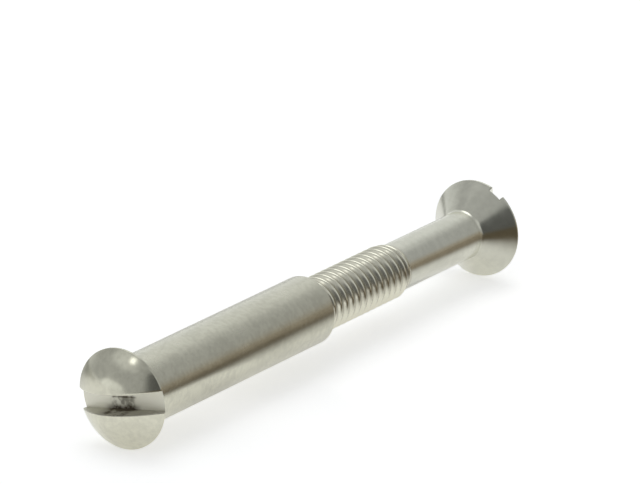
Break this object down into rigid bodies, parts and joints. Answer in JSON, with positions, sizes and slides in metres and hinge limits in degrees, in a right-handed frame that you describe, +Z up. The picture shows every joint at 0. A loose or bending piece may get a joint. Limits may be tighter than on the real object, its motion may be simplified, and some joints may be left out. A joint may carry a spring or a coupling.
{
  "type": "binding barrel screw",
  "caption": "Slotted oval-head sleeve nut with a slotted oval-head machine screw run part way into it; binds panels between its two heads.",
  "frame": {"origin": "on the floor plane, under the middle of the fastener's length, which lies on its side on the rims of its two heads", "axes": "+X along the common axis from the sleeve's head to the screw's head, +Z up"},
  "size_m": [0.0442, 0.007, 0.007],
  "materials": {
    "sleeve_plate": "satin nickel plate, fine turning marks along the barrel",
    "screw_plate": "satin nickel plate, bright rolled thread"
  },
  "bodies": {
    "sleeve": {"sleeve_nut": "sleeve_plate"},
    "screw": {"machine_screw": "screw_plate"}
  },
  "joints": [
    {"name": "screw_travel", "type": "slide", "parent": "sleeve", "child": "screw", "axis": [1, 0, 0], "range_m": [-0.0014, 0.0168]}
  ]
}
